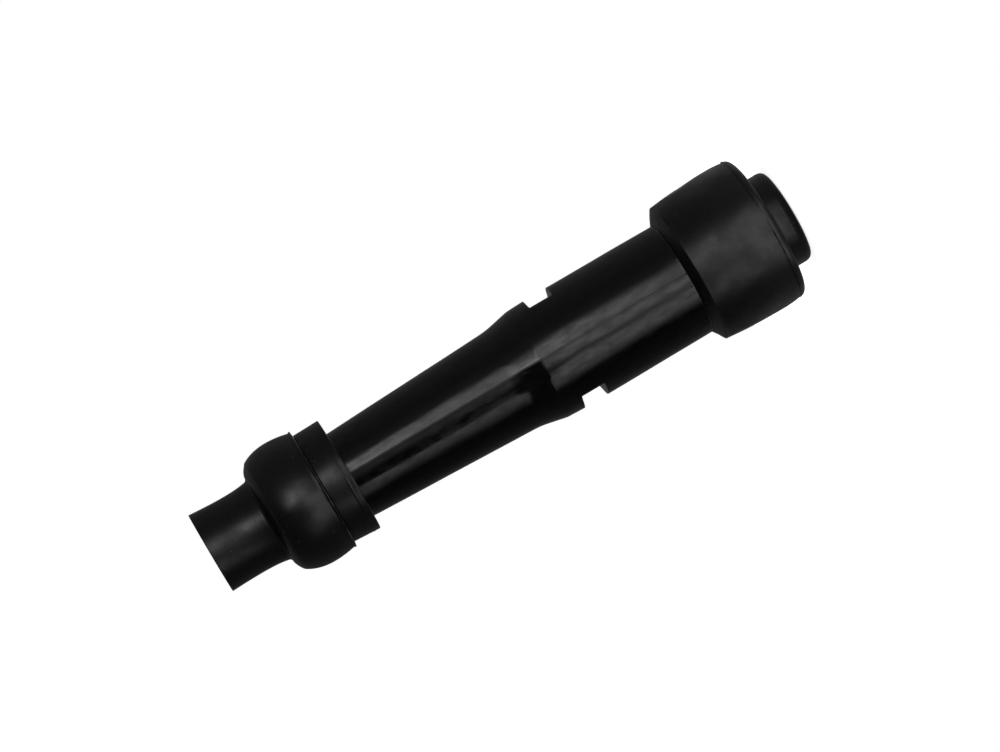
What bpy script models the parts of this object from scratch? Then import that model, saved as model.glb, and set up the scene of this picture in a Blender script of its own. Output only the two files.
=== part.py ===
"""Straight resistor cap for a spark plug: housing, plug boot, cable seal and contact parts.

Metres, +Z up. The cap stands on the flat end of its plug boot at Z = 0, and the ignition
lead enters at the top. The housing's two notches face +X and -X. Inside the housing, from the
bottom up, are the terminal, the spring, the resistor, the contact disc and the cable screw.
"""

import math

import bmesh
import bpy
from mathutils import Matrix, Vector

# Gap that stands for contact between two pieces
SEAT_GAP = 0.0003

# What the cap is pushed onto: the plug's insulator, its terminal nut, and the lead
INSULATOR_RADIUS = 0.0052
NUT_RADIUS = 0.00315
CABLE_RADIUS = 0.0035

# Plug boot, moulded in rubber
MOUTH_GRIP = 0.0004
MOUTH_CHAMFER = 0.0003
NECK_WALL = 0.0023
NECK_LENGTH = 0.00315
NECK_EDGE = 0.0012
BOOT_FLOOR = 0.00145
BOOT_LENGTH = 0.01448
BOOT_CORNER_WIDTH = 0.00176
BOOT_CORNER_SET_IN = 0.00026
BOOT_FLASH_HEIGHT = 0.00135
BOOT_FLASH_RISE = 0.00011
BOOT_FLASH_BAND = 0.0004
BOOT_FOOT_WALL = 0.00213
BOOT_SWELL_HEIGHT = 0.00505
BOOT_SWELL_WALL = 0.00246
BOOT_RIM_WALL = 0.00184
BOOT_CHAMFER_LENGTH = 0.0014
BOOT_LIP = 0.00012

# Housing, moulded in phenolic: outside
BARREL_WALL = 0.00262
BARREL_TAPER = 0.00012
BARREL_LENGTH = 0.0365
FOOT_CHAMFER = 0.0004
GROOVE_HEIGHT = 0.004
GROOVE_WIDTH = 0.0022
GROOVE_DEPTH = 0.0006
SHOULDER_DROP = 0.00013
NOTCH_WIDTH = 0.00367
NOTCH_DEPTH = 0.00144
NOTCH_BELOW_FLARE = 0.0029
NOTCH_OVERCUT = 0.003
FLARE_LENGTH = 0.0039
FLARE_EDGE = 0.003
FLARE_FILLET = 0.013
CONE_LENGTH = 0.02665
CONE_FOOT_WALL = 0.00439
CONE_HEAD_WALL = 0.00282

# Housing: the end under the cable seal
BEAD_SETBACK = 0.0007
BEAD_RISE = 0.0011
BEAD_LENGTH = 0.0024
BEAD_RAMP = 0.0023
BEAD_FILLET = 0.0004
SPIGOT_WALL = 0.0025
SPIGOT_LENGTH = 0.0008
SPIGOT_CHAMFER = 0.0005

# Housing: inside
INSULATOR_ROOM = 0.0007
PLUG_CAVITY_DEPTH = 0.0231
CABLE_ROOM = 0.00025
CABLE_CAVITY_DEPTH = 0.01355
BULKHEAD_THICKNESS = 0.0028

# Cable seal, moulded in rubber
CABLE_GRIP = 0.00015
COLLAR_WALL = 0.00182
COLLAR_TAPER = 0.00015
COLLAR_LENGTH = 0.0038
SEAM_GROOVE_DEPTH = 0.00012
SEAM_GROOVE_WIDTH = 0.00025
FLASH_RISE = 0.00075
FLASH_WIDTH = 0.00035
BULB_FOOT_WALL = 0.0012
BULB_SWELL_WALL = 0.00208
BULB_SWELL_HEIGHT = 0.0052
BULB_HEAD_WALL = 0.00057
SEAL_ROOF = 0.0015
CROWN_HEIGHT = 0.0011
CROWN_BULGE = 0.00028
TUBE_FOOT_WALL = 0.00283
TUBE_WAIST_WALL = 0.00237
TUBE_MOUTH_WALL = 0.00275
TUBE_WAIST_HEIGHT = 0.0029
TUBE_FILLET = 0.00045
TUBE_LENGTH = 0.00915
TUBE_CHAMFER = 0.0005

# Plug terminal, turned in brass, and its wire clip
SOCKET_ROOM = 0.00005
SOCKET_DEPTH = 0.0092
NOSE_WALL = 0.0008
NOSE_LENGTH = 0.005
THREAD_STEP = 0.0007
THREAD_LENGTH = 0.0077
THREAD_CHAMFER = 0.0004
DRIVER_SLOT_WIDTH = 0.0014
DRIVER_SLOT_DEPTH = 0.0013
SPRING_PIP_RADIUS = 0.0015
SPRING_PIP_HEIGHT = 0.0012
CLIP_HEIGHT = 0.003
CLIP_WIRE_RADIUS = 0.0003
CLIP_REACH = 0.0007
CLIP_BEND = 0.0024
CLIP_TAIL = 0.0006
CLIP_TAIL_SPREAD = 0.00035

# Contact spring, in steel wire
SPRING_WIRE_RADIUS = 0.00035
SPRING_RADIUS = 0.0023
SPRING_PITCH = 0.00128

# Resistor: ceramic core and two pressed metal caps
RESISTOR_RADIUS = 0.00235
RESISTOR_LENGTH = 0.0163
CAP_WALL = 0.00035
CAP_LENGTH = 0.0035

# Contact disc, and the wood screw that the lead is turned onto
DISC_THICKNESS = 0.0006
DISC_SET_IN = 0.0001
HEAD_THICKNESS = 0.0015
HEAD_SET_IN = 0.0002
HEAD_SLOT_WIDTH = 0.0008
HEAD_SLOT_DEPTH = 0.0006
SHANK_RADIUS = 0.0016
CORE_RADIUS = 0.00115
SCREW_THREAD_DEPTH = 0.0006
SCREW_PITCH = 0.0017
SCREW_RIDGE_WIDTH = 0.0011
SCREW_LENGTH = 0.014
SCREW_POINT = 0.003
SCREW_TIP_RADIUS = 0.0002

# Fineness of the round shapes
TURNED_STEPS = 48
INNER_STEPS = 32
SCREW_STEPS = 16
ROWS_PER_PITCH = 6
POINTS_PER_TURN = 14
FILLET_STEPS = 3
CURVE_STEPS = 6
WIRE_RESOLUTION = 2
MERGE_DISTANCE = 0.00001

# Radii that follow, from the middle outwards
MOUTH_RADIUS = INSULATOR_RADIUS - MOUTH_GRIP
NECK_RADIUS = MOUTH_RADIUS + NECK_WALL
PLUG_CAVITY_RADIUS = INSULATOR_RADIUS + INSULATOR_ROOM
BARREL_RADIUS = PLUG_CAVITY_RADIUS + BARREL_WALL
BARREL_HEAD_RADIUS = BARREL_RADIUS + BARREL_TAPER
SHOULDER_RADIUS = BARREL_HEAD_RADIUS - SHOULDER_DROP
BOOT_INSIDE_RADIUS = BARREL_RADIUS + SEAT_GAP
CAP_INSIDE_RADIUS = RESISTOR_RADIUS + SEAT_GAP
CAP_RADIUS = CAP_INSIDE_RADIUS + CAP_WALL
CHAMBER_RADIUS = CAP_RADIUS + SEAT_GAP
CABLE_CAVITY_RADIUS = CABLE_RADIUS + CABLE_ROOM
CONE_FOOT_RADIUS = CHAMBER_RADIUS + CONE_FOOT_WALL
CONE_HEAD_RADIUS = CABLE_CAVITY_RADIUS + CONE_HEAD_WALL
BEAD_RADIUS = CONE_HEAD_RADIUS + BEAD_RISE
SPIGOT_RADIUS = CABLE_CAVITY_RADIUS + SPIGOT_WALL
SEAL_BORE_RADIUS = CABLE_RADIUS - CABLE_GRIP
SOCKET_RADIUS = NUT_RADIUS + SOCKET_ROOM
NOSE_RADIUS = SOCKET_RADIUS + NOSE_WALL
THREAD_RADIUS = NOSE_RADIUS + THREAD_STEP
DISC_RADIUS = CAP_RADIUS - DISC_SET_IN
HEAD_RADIUS = CAP_RADIUS - HEAD_SET_IN

# Heights that follow: the outside of the housing, and the two rubber pieces
HOUSING_FOOT = NECK_LENGTH + BOOT_FLOOR + SEAT_GAP
BOOT_TOP = NECK_LENGTH + BOOT_LENGTH
FLARE_FOOT = HOUSING_FOOT + BARREL_LENGTH
CONE_FOOT = FLARE_FOOT + FLARE_LENGTH
SEAL_MOUTH = CONE_FOOT + CONE_LENGTH
SEAM_HEIGHT = SEAL_MOUTH + COLLAR_LENGTH
BULB_FOOT = SEAM_HEIGHT + SEAM_GROOVE_WIDTH + FLASH_WIDTH
BEAD_FOOT = SEAM_HEIGHT + BEAD_SETBACK
BEAD_HEAD = BEAD_FOOT + BEAD_LENGTH
SPIGOT_FOOT = BEAD_HEAD + BEAD_RAMP
HOUSING_HEAD = SPIGOT_FOOT + SPIGOT_LENGTH
SEAL_CEILING = HOUSING_HEAD + SEAT_GAP
CROWN_FOOT = SEAL_CEILING + SEAL_ROOF
TUBE_FOOT = CROWN_FOOT + CROWN_HEIGHT
TUBE_TOP = TUBE_FOOT + TUBE_LENGTH

# Heights that follow: the plug's terminal, from the housing's foot upwards
THREAD_FOOT = HOUSING_FOOT + PLUG_CAVITY_DEPTH
TERMINAL_SHOULDER = THREAD_FOOT + SEAT_GAP
TERMINAL_FOOT = TERMINAL_SHOULDER - NOSE_LENGTH
TERMINAL_TOP = TERMINAL_SHOULDER + THREAD_LENGTH
CHAMBER_FOOT = TERMINAL_TOP + SEAT_GAP
SPRING_FOOT = TERMINAL_TOP + SEAT_GAP

# Heights that follow: the screw and the resistor, from the housing's head downwards
BULKHEAD_TOP = HOUSING_HEAD - CABLE_CAVITY_DEPTH
CHAMBER_TOP = BULKHEAD_TOP - BULKHEAD_THICKNESS
HEAD_TOP = CHAMBER_TOP - SEAT_GAP
HEAD_FOOT = HEAD_TOP - HEAD_THICKNESS
SCREW_TOP = HEAD_TOP + SCREW_LENGTH
DISC_TOP = HEAD_FOOT - SEAT_GAP
DISC_FOOT = DISC_TOP - DISC_THICKNESS
UPPER_CAP_TOP = DISC_FOOT - SEAT_GAP
RESISTOR_TOP = UPPER_CAP_TOP - CAP_WALL - SEAT_GAP
RESISTOR_FOOT = RESISTOR_TOP - RESISTOR_LENGTH
LOWER_CAP_FOOT = RESISTOR_FOOT - SEAT_GAP - CAP_WALL

# The spring takes up the height between the terminal and the resistor
SPRING_HEAD = LOWER_CAP_FOOT - SEAT_GAP


def filleted(corners, steps=FILLET_STEPS):
    """Points of an outline of (x, y, fillet radius) corners, with an arc at each fillet."""
    points = []
    for index, (x, y, radius) in enumerate(corners):
        corner = Vector((x, y))
        if radius == 0:
            points.append(corner)
            continue
        back = Vector(corners[index - 1][:2]) - corner
        ahead = Vector(corners[(index + 1) % len(corners)][:2]) - corner
        half_angle = back.angle(ahead) / 2
        reach = min(radius / math.tan(half_angle), back.length / 2, ahead.length / 2)
        centre_line = (back.normalized() + ahead.normalized()).normalized()
        centre = corner + centre_line * reach / math.cos(half_angle)
        first = corner + back.normalized() * reach - centre
        last = corner + ahead.normalized() * reach - centre
        for step in range(steps + 1):
            points.append(centre + first.length * first.slerp(last, step / steps))
    return points


def swept(start, handle, end, steps=CURVE_STEPS):
    """Corners along the smooth curve from start to end that leans out towards its handle."""
    corners = []
    for step in range(steps + 1):
        t = step / steps
        x = (1 - t) ** 2 * start[0] + 2 * t * (1 - t) * handle[0] + t * t * end[0]
        y = (1 - t) ** 2 * start[1] + 2 * t * (1 - t) * handle[1] + t * t * end[1]
        corners.append((x, y, 0))
    return corners


def along_cone(height):
    """Radius of the housing's cone at a height, also where the seal covers it."""
    share = (height - CONE_FOOT) / CONE_LENGTH
    return CONE_FOOT_RADIUS + (CONE_HEAD_RADIUS - CONE_FOOT_RADIUS) * share


def finish(name, colour, roughness, metallic=0.0):
    """A Principled BSDF material."""
    made = bpy.data.materials.new(name)
    made.use_nodes = True
    shader = made.node_tree.nodes["Principled BSDF"]
    shader.inputs["Base Color"].default_value = (*colour, 1.0)
    shader.inputs["Roughness"].default_value = roughness
    shader.inputs["Metallic"].default_value = metallic
    return made


def add(name, data, collection, material=None):
    """Links an object for that data in the collection."""
    made = bpy.data.objects.new(name, data)
    collection.objects.link(made)
    if material:
        data.materials.append(material)
    return made


def turned(name, corners, collection, material, closed=True, steps=TURNED_STEPS):
    """A turned piece. The corners run down the outer side, and back up the bore if closed."""
    points = filleted(corners)
    edges = [(index, index + 1) for index in range(len(points) - 1)]
    if closed:
        edges.append((len(points) - 1, 0))
    outline = bpy.data.meshes.new(name)
    outline.from_pydata([(x, 0, z) for x, z in points], edges, [])
    made = add(name, outline, collection, material)
    turning = made.modifiers.new("turning", "SCREW")
    turning.axis = "Z"
    turning.steps = turning.render_steps = steps
    turning.use_merge_vertices = True
    turning.merge_threshold = MERGE_DISTANCE
    turning.use_smooth_shade = True
    return made


def cut_box(target, name, low, high, cutters):
    """Cuts the box between two corners out of the target."""
    low, high = Vector(low), Vector(high)
    mesh = bpy.data.meshes.new(name)
    shape = bmesh.new()
    place = Matrix.Translation((low + high) / 2) @ Matrix.Diagonal((*(high - low), 1))
    bmesh.ops.create_cube(shape, size=1, matrix=place)
    shape.to_mesh(mesh)
    shape.free()
    cutter = add(name, mesh, cutters)
    cutter.hide_render = True
    cutter.display_type = "WIRE"
    cut = target.modifiers.new(name, "BOOLEAN")
    cut.operation = "DIFFERENCE"
    cut.object = cutter
    return cutter


def wire(name, points, radius, collection, material):
    """A piece of round wire along the points."""
    path = bpy.data.curves.new(name, "CURVE")
    path.dimensions = "3D"
    path.bevel_depth = radius
    path.bevel_resolution = WIRE_RESOLUTION
    path.use_fill_caps = True
    spline = path.splines.new("POLY")
    spline.points.add(len(points) - 1)
    for target, point in zip(spline.points, points):
        target.co = (*point, 1)
    return add(name, path, collection, material)


def make_housing(collection, cutters, material):
    """The moulded body: barrel, flare, cone, and the beaded end that the seal snaps over."""
    groove_foot = HOUSING_FOOT + GROOVE_HEIGHT
    groove_radius = BARREL_RADIUS - GROOVE_DEPTH
    notch_top = FLARE_FOOT - NOTCH_BELOW_FLARE
    corners = [
        (SPIGOT_RADIUS, HOUSING_HEAD, SPIGOT_CHAMFER),
        (SPIGOT_RADIUS, SPIGOT_FOOT, 0),
        (BEAD_RADIUS, BEAD_HEAD, BEAD_FILLET),
        (BEAD_RADIUS, BEAD_FOOT, BEAD_FILLET),
        (along_cone(BEAD_FOOT), BEAD_FOOT, 0),
        (CONE_HEAD_RADIUS, SEAL_MOUTH, 0),
        (CONE_FOOT_RADIUS, CONE_FOOT, FLARE_FILLET),
        (SHOULDER_RADIUS, FLARE_FOOT, FLARE_EDGE),
        (BARREL_HEAD_RADIUS, notch_top, 0),
        (BARREL_RADIUS, BOOT_TOP, 0),
        (BARREL_RADIUS, groove_foot + GROOVE_WIDTH, 0),
        (groove_radius, groove_foot + GROOVE_WIDTH, 0),
        (groove_radius, groove_foot, 0),
        (BARREL_RADIUS, groove_foot, 0),
        (BARREL_RADIUS, HOUSING_FOOT + FOOT_CHAMFER, 0),
        (BARREL_RADIUS - FOOT_CHAMFER, HOUSING_FOOT, 0),
        (PLUG_CAVITY_RADIUS, HOUSING_FOOT, 0),
        (PLUG_CAVITY_RADIUS, THREAD_FOOT, 0),
        (THREAD_RADIUS + SEAT_GAP, THREAD_FOOT, 0),
        (THREAD_RADIUS + SEAT_GAP, CHAMBER_FOOT, 0),
        (CHAMBER_RADIUS, CHAMBER_FOOT, 0),
        (CHAMBER_RADIUS, CHAMBER_TOP, 0),
        (SHANK_RADIUS + SEAT_GAP, CHAMBER_TOP, 0),
        (SHANK_RADIUS + SEAT_GAP, BULKHEAD_TOP, 0),
        (CABLE_CAVITY_RADIUS, BULKHEAD_TOP, 0),
        (CABLE_CAVITY_RADIUS, HOUSING_HEAD - SPIGOT_CHAMFER, 0),
        (CABLE_CAVITY_RADIUS + SPIGOT_CHAMFER, HOUSING_HEAD, 0),
    ]
    housing = turned("housing", corners, collection, material)
    floor = BARREL_HEAD_RADIUS - NOTCH_DEPTH
    wall = BARREL_HEAD_RADIUS + NOTCH_OVERCUT
    for side, name in ((1, "notch_right"), (-1, "notch_left")):
        low_x, high_x = sorted((side * floor, side * wall))
        low = (low_x, -wall, notch_top - NOTCH_WIDTH)
        high = (high_x, wall, notch_top)
        cut_box(housing, name, low, high, cutters)
    return housing


def make_plug_boot(collection, material):
    """The rubber boot: a neck that grips the insulator, and a barrel round the housing's foot."""
    flash = NECK_LENGTH + BOOT_FLASH_HEIGHT
    rim = BOOT_TOP - BOOT_CHAMFER_LENGTH
    floor_top = NECK_LENGTH + BOOT_FLOOR
    rib_foot = HOUSING_FOOT + GROOVE_HEIGHT + SEAT_GAP
    rib_top = HOUSING_FOOT + GROOVE_HEIGHT + GROOVE_WIDTH - SEAT_GAP
    rib_radius = BOOT_INSIDE_RADIUS - GROOVE_DEPTH
    foot_radius = BOOT_INSIDE_RADIUS + BOOT_FOOT_WALL
    flash_radius = foot_radius + BOOT_FLASH_RISE
    barrel = swept(
        (BOOT_INSIDE_RADIUS + BOOT_RIM_WALL, rim),
        (BOOT_INSIDE_RADIUS + BOOT_SWELL_WALL, NECK_LENGTH + BOOT_SWELL_HEIGHT),
        (foot_radius, flash + BOOT_FLASH_BAND),
    )
    corner = swept(
        (flash_radius, flash),
        (flash_radius - BOOT_CORNER_SET_IN, NECK_LENGTH),
        (flash_radius - BOOT_CORNER_WIDTH, NECK_LENGTH),
    )
    corners = [
        (BOOT_INSIDE_RADIUS, BOOT_TOP, 0),
        (BOOT_INSIDE_RADIUS + BOOT_LIP, BOOT_TOP, 0),
        *barrel,
        *corner,
        (NECK_RADIUS, NECK_LENGTH, 0),
        (NECK_RADIUS, 0, NECK_EDGE),
        (MOUTH_RADIUS + MOUTH_CHAMFER, 0, 0),
        (MOUTH_RADIUS, MOUTH_CHAMFER, 0),
        (MOUTH_RADIUS, floor_top, 0),
        (BOOT_INSIDE_RADIUS, floor_top, 0),
        (BOOT_INSIDE_RADIUS, rib_foot, 0),
        (rib_radius, rib_foot, 0),
        (rib_radius, rib_top, 0),
        (BOOT_INSIDE_RADIUS, rib_top, 0),
    ]
    return turned("plug_boot", corners, collection, material)


def make_cable_seal(collection, material):
    """The rubber seal: a collar and bulb over the housing's bead, and a tube round the lead."""
    collar_radius = CONE_HEAD_RADIUS + SEAT_GAP + COLLAR_WALL
    seam_radius = collar_radius - COLLAR_TAPER
    flash_radius = seam_radius + FLASH_RISE
    bulb_inside = BEAD_RADIUS + SEAT_GAP
    spigot_inside = SPIGOT_RADIUS + SEAT_GAP
    head_radius = bulb_inside + BULB_HEAD_WALL
    tube_foot_radius = SEAL_BORE_RADIUS + TUBE_FOOT_WALL
    tube = swept(
        (SEAL_BORE_RADIUS + TUBE_MOUTH_WALL, TUBE_TOP),
        (SEAL_BORE_RADIUS + TUBE_WAIST_WALL, TUBE_FOOT + TUBE_WAIST_HEIGHT),
        (tube_foot_radius, TUBE_FOOT + TUBE_FILLET),
    )
    crown_middle = ((head_radius + tube_foot_radius) / 2, (CROWN_FOOT + TUBE_FOOT) / 2)
    crown = swept(
        (tube_foot_radius + TUBE_FILLET, TUBE_FOOT),
        (crown_middle[0] + CROWN_BULGE, crown_middle[1] + CROWN_BULGE),
        (head_radius, CROWN_FOOT),
        steps=FILLET_STEPS,
    )
    bulb = swept(
        (head_radius, CROWN_FOOT),
        (bulb_inside + BULB_SWELL_WALL, BULB_FOOT + BULB_SWELL_HEIGHT),
        (bulb_inside + BULB_FOOT_WALL, BULB_FOOT),
    )
    corners = [
        (SEAL_BORE_RADIUS + TUBE_CHAMFER, TUBE_TOP, 0),
        *tube,
        *crown,
        *bulb[1:],
        (flash_radius, BULB_FOOT - FLASH_WIDTH, 0),
        (seam_radius - SEAM_GROOVE_DEPTH, SEAM_HEIGHT + SEAM_GROOVE_WIDTH / 2, 0),
        (seam_radius, SEAM_HEIGHT, 0),
        (collar_radius, SEAL_MOUTH, 0),
        (CONE_HEAD_RADIUS + SEAT_GAP, SEAL_MOUTH, 0),
        (along_cone(BEAD_FOOT) + SEAT_GAP, BEAD_FOOT - SEAT_GAP, 0),
        (bulb_inside, BEAD_FOOT - SEAT_GAP, 0),
        (bulb_inside, BEAD_HEAD, 0),
        (spigot_inside, SPIGOT_FOOT, 0),
        (spigot_inside, SEAL_CEILING, 0),
        (SEAL_BORE_RADIUS, SEAL_CEILING, 0),
        (SEAL_BORE_RADIUS, TUBE_TOP - TUBE_CHAMFER, 0),
    ]
    return turned("cable_seal", corners, collection, material)


def make_plug_terminal(collection, cutters, material):
    """The brass socket for the plug's terminal nut, slotted for its clip and a screwdriver."""
    corners = [
        (0, TERMINAL_TOP + SPRING_PIP_HEIGHT, 0),
        (SPRING_PIP_RADIUS, TERMINAL_TOP + SPRING_PIP_HEIGHT, THREAD_CHAMFER),
        (SPRING_PIP_RADIUS, TERMINAL_TOP, 0),
        (THREAD_RADIUS - THREAD_CHAMFER, TERMINAL_TOP, 0),
        (THREAD_RADIUS, TERMINAL_TOP - THREAD_CHAMFER, 0),
        (THREAD_RADIUS, TERMINAL_SHOULDER, 0),
        (NOSE_RADIUS, TERMINAL_SHOULDER, 0),
        (NOSE_RADIUS, TERMINAL_FOOT, 0),
        (SOCKET_RADIUS, TERMINAL_FOOT, 0),
        (SOCKET_RADIUS, TERMINAL_FOOT + SOCKET_DEPTH, 0),
        (0, TERMINAL_FOOT + SOCKET_DEPTH, 0),
    ]
    terminal = turned("plug_terminal", corners, collection, material, False, INNER_STEPS)
    reach = THREAD_RADIUS + CLIP_WIRE_RADIUS
    slot_low = TERMINAL_FOOT + CLIP_HEIGHT - CLIP_WIRE_RADIUS - SEAT_GAP
    slot_high = TERMINAL_FOOT + CLIP_HEIGHT + CLIP_WIRE_RADIUS + SEAT_GAP
    slot_floor = SOCKET_RADIUS - CLIP_REACH - SEAT_GAP
    for side, name in ((1, "clip_slot_right"), (-1, "clip_slot_left")):
        low_x, high_x = sorted((side * slot_floor, side * reach))
        cut_box(terminal, name, (low_x, -reach, slot_low), (high_x, reach, slot_high), cutters)
    half = DRIVER_SLOT_WIDTH / 2
    low = (-half, -reach, TERMINAL_FOOT - DRIVER_SLOT_DEPTH)
    high = (half, reach, TERMINAL_FOOT + DRIVER_SLOT_DEPTH)
    cut_box(terminal, "driver_slot", low, high, cutters)
    return terminal


def make_terminal_clip(collection, material):
    """The wire hairpin whose legs lie in the terminal's slots and grip the plug's nut."""
    leg = SOCKET_RADIUS - CLIP_REACH + CLIP_WIRE_RADIUS
    back = NOSE_RADIUS + CLIP_WIRE_RADIUS + 2 * SEAT_GAP
    tail = NOSE_RADIUS - CLIP_TAIL
    corners = [
        (-leg - CLIP_TAIL_SPREAD, -tail - CLIP_TAIL, 0),
        (-leg, -tail, 0),
        (-leg, back, CLIP_BEND),
        (leg, back, CLIP_BEND),
        (leg, -tail, 0),
        (leg + CLIP_TAIL_SPREAD, -tail - CLIP_TAIL, 0),
    ]
    height = TERMINAL_FOOT + CLIP_HEIGHT
    points = [(x, y, height) for x, y in filleted(corners, 2 * FILLET_STEPS)]
    return wire("terminal_clip", points, CLIP_WIRE_RADIUS, collection, material)


def make_contact_spring(collection, material):
    """The coil spring that presses the resistor against the cable screw."""
    rise = SPRING_HEAD - SPRING_FOOT - 2 * SPRING_WIRE_RADIUS
    turns = max(round(rise / SPRING_PITCH), 1)
    count = turns * POINTS_PER_TURN
    points = []
    for step in range(count + 1):
        angle = 2 * math.pi * step / POINTS_PER_TURN
        height = SPRING_FOOT + SPRING_WIRE_RADIUS + rise * step / count
        points.append((SPRING_RADIUS * math.cos(angle), SPRING_RADIUS * math.sin(angle), height))
    return wire("contact_spring", points, SPRING_WIRE_RADIUS, collection, material)


def make_resistor(collection, ceramic, plated):
    """The ceramic core and the two metal caps pressed over its ends."""
    core = [
        (0, RESISTOR_TOP, 0),
        (RESISTOR_RADIUS, RESISTOR_TOP, 0),
        (RESISTOR_RADIUS, RESISTOR_FOOT, 0),
        (0, RESISTOR_FOOT, 0),
    ]
    turned("resistor_core", core, collection, ceramic, False, INNER_STEPS)
    lower_rim = LOWER_CAP_FOOT + CAP_LENGTH
    lower = [
        (CAP_RADIUS, lower_rim, 0),
        (CAP_RADIUS, LOWER_CAP_FOOT, CAP_WALL),
        (0, LOWER_CAP_FOOT, 0),
        (0, LOWER_CAP_FOOT + CAP_WALL, 0),
        (CAP_INSIDE_RADIUS, LOWER_CAP_FOOT + CAP_WALL, 0),
        (CAP_INSIDE_RADIUS, lower_rim, 0),
    ]
    turned_cup("resistor_cap_lower", lower, collection, plated)
    upper_rim = UPPER_CAP_TOP - CAP_LENGTH
    upper = [
        (CAP_INSIDE_RADIUS, upper_rim, 0),
        (CAP_INSIDE_RADIUS, UPPER_CAP_TOP - CAP_WALL, 0),
        (0, UPPER_CAP_TOP - CAP_WALL, 0),
        (0, UPPER_CAP_TOP, 0),
        (CAP_RADIUS, UPPER_CAP_TOP, CAP_WALL),
        (CAP_RADIUS, upper_rim, 0),
    ]
    turned_cup("resistor_cap_upper", upper, collection, plated)


def turned_cup(name, corners, collection, material):
    """A thin turned cup. Its two middle points on the axis part the outside from the inside."""
    axis = [index for index, corner in enumerate(corners) if corner[0] == 0]
    around = corners[axis[1]:] + corners[: axis[0] + 1]
    return turned(name, around, collection, material, False, INNER_STEPS)


def make_contact_disc(collection, material):
    """The disc between the resistor and the head of the cable screw."""
    corners = [
        (0, DISC_TOP, 0),
        (DISC_RADIUS, DISC_TOP, 0),
        (DISC_RADIUS, DISC_FOOT, 0),
        (0, DISC_FOOT, 0),
    ]
    return turned("contact_disc", corners, collection, material, False, INNER_STEPS)


def make_cable_screw(collection, cutters, material):
    """The brass wood screw through the bulkhead, pointing up into the lead."""
    thread_foot = BULKHEAD_TOP
    rows = round((SCREW_TOP - thread_foot) / SCREW_PITCH * ROWS_PER_PITCH)
    corners = [(0, SCREW_TOP, 0)]
    for row in range(rows + 1):
        height = SCREW_TOP + (thread_foot - SCREW_TOP) * row / rows
        share = min((SCREW_TOP - height) / SCREW_POINT, 1)
        corners.append((SCREW_TIP_RADIUS + (CORE_RADIUS - SCREW_TIP_RADIUS) * share, height, 0))
    corners += [
        (SHANK_RADIUS, thread_foot, 0),
        (SHANK_RADIUS, HEAD_TOP, 0),
        (HEAD_RADIUS, HEAD_TOP, 0),
        (HEAD_RADIUS, HEAD_FOOT, 0),
        (0, HEAD_FOOT, 0),
    ]
    blank = turned("screw_blank", corners, collection, material, False, SCREW_STEPS)
    bpy.context.view_layer.update()
    graph = bpy.context.evaluated_depsgraph_get()
    mesh = bpy.data.meshes.new_from_object(blank.evaluated_get(graph))
    mesh.name = "cable_screw"
    bpy.data.objects.remove(blank)
    for vertex in mesh.vertices:
        raise_thread(vertex, thread_foot)
    screw = bpy.data.objects.new("cable_screw", mesh)
    collection.objects.link(screw)
    half = HEAD_SLOT_WIDTH / 2
    low = (-half, -CHAMBER_RADIUS, HEAD_FOOT - HEAD_SLOT_DEPTH)
    high = (half, CHAMBER_RADIUS, HEAD_FOOT + HEAD_SLOT_DEPTH)
    cut_box(screw, "screw_slot", low, high, cutters)
    return screw


def raise_thread(vertex, thread_foot):
    """Moves a point of the screw's core out onto the helical ridge that passes over it."""
    x, y, height = vertex.co
    radius = math.hypot(x, y)
    above = height - thread_foot
    if radius < SCREW_TIP_RADIUS / 2 or above <= 0 or radius > CORE_RADIUS + MERGE_DISTANCE:
        return
    phase = (above / SCREW_PITCH - math.atan2(y, x) / (2 * math.pi)) % 1
    ridge = max(0, 1 - abs(phase - 0.5) * 2 * SCREW_PITCH / SCREW_RIDGE_WIDTH)
    run_in = min(above / SCREW_PITCH, (SCREW_TOP - height) / SCREW_POINT, 1)
    grown = radius + SCREW_THREAD_DEPTH * ridge * run_in
    vertex.co = (x * grown / radius, y * grown / radius, height)


def main():
    """Builds the whole cap."""
    for item in list(bpy.data.objects):
        bpy.data.objects.remove(item)
    parts = bpy.data.collections.new("spark_plug_cap")
    cutters = bpy.data.collections.new("cutters")
    bpy.context.scene.collection.children.link(parts)
    bpy.context.scene.collection.children.link(cutters)

    phenolic = finish("black_phenolic", (0.006, 0.006, 0.006), 0.16)
    boot_rubber = finish("boot_rubber", (0.012, 0.012, 0.012), 0.5)
    seal_rubber = finish("seal_rubber", (0.012, 0.012, 0.012), 0.45)
    terminal_brass = finish("terminal_brass", (0.72, 0.5, 0.2), 0.3, 1.0)
    screw_brass = finish("screw_brass", (0.68, 0.46, 0.18), 0.35, 1.0)
    disc_brass = finish("disc_brass", (0.7, 0.5, 0.22), 0.3, 1.0)
    clip_steel = finish("clip_steel", (0.5, 0.5, 0.5), 0.3, 1.0)
    spring_steel = finish("spring_steel", (0.55, 0.55, 0.55), 0.3, 1.0)
    ceramic = finish("resistor_ceramic", (0.75, 0.72, 0.64), 0.6)
    plated = finish("plated_caps", (0.65, 0.64, 0.6), 0.3, 1.0)

    make_housing(parts, cutters, phenolic)
    make_plug_boot(parts, boot_rubber)
    make_cable_seal(parts, seal_rubber)
    make_plug_terminal(parts, cutters, terminal_brass)
    make_terminal_clip(parts, clip_steel)
    make_contact_spring(parts, spring_steel)
    make_resistor(parts, ceramic, plated)
    make_contact_disc(parts, disc_brass)
    make_cable_screw(parts, cutters, screw_brass)


main()
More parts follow.
